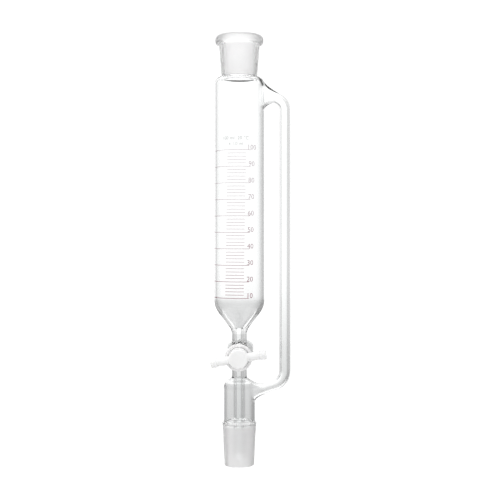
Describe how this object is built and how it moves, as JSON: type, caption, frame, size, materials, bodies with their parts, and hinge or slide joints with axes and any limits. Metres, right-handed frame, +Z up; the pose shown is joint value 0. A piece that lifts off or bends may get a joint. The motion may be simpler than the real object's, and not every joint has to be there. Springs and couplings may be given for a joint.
{
  "type": "pressure-equalising dropping funnel",
  "caption": "Cylindrical graduated dropping funnel with a side arm, ground socket and cone, and a turning PTFE key stopcock above a drip chamber.",
  "frame": {"origin": "centre of the lower cone's tip", "axes": "+Z up the funnel's axis, +X towards the side arm, -Y towards the stopcock's handle"},
  "size_m": [0.0568, 0.0575, 0.3095],
  "materials": {
    "clear_glass": "clear fire-polished borosilicate",
    "ground_glass": "finely ground, frosted",
    "ptfe": "waxy, slightly translucent",
    "nut_plastic": "satin",
    "seal_rubber": "smooth silicone",
    "enamel_print": "fired enamel print"
  },
  "bodies": {
    "glassware": {"socket_joint": "clear_glass", "reservoir": "clear_glass", "stopcock_barrel": "clear_glass", "drip_tube": "clear_glass", "drip_chamber": "clear_glass", "cone_joint": "ground_glass", "side_arm": "clear_glass"},
    "key": {"stopcock_key": "ptfe"},
    "seals": {"seal_washer": "ptfe", "seal_o_ring": "seal_rubber"},
    "nut": {"key_nut": "nut_plastic"}
  },
  "joints": [
    {"name": "key_turn", "type": "hinge", "parent": "glassware", "child": "key", "pos_m": [0, 0, 0.0794], "axis": [0, 1, 0], "continuous": true},
    {"name": "seal_slide", "type": "slide", "parent": "key", "child": "seals", "axis": [0, 1, 0], "range_m": [0, 0.003]},
    {"name": "nut_turn", "type": "hinge", "parent": "seals", "child": "nut", "pos_m": [0, 0.0244, 0.0794], "axis": [0, 1, 0], "range_deg": [0, 720]}
  ],
  "couplings": [
    {"joint": "seal_slide", "follows": "nut_turn", "m_per_rad": 0.00023873}
  ]
}
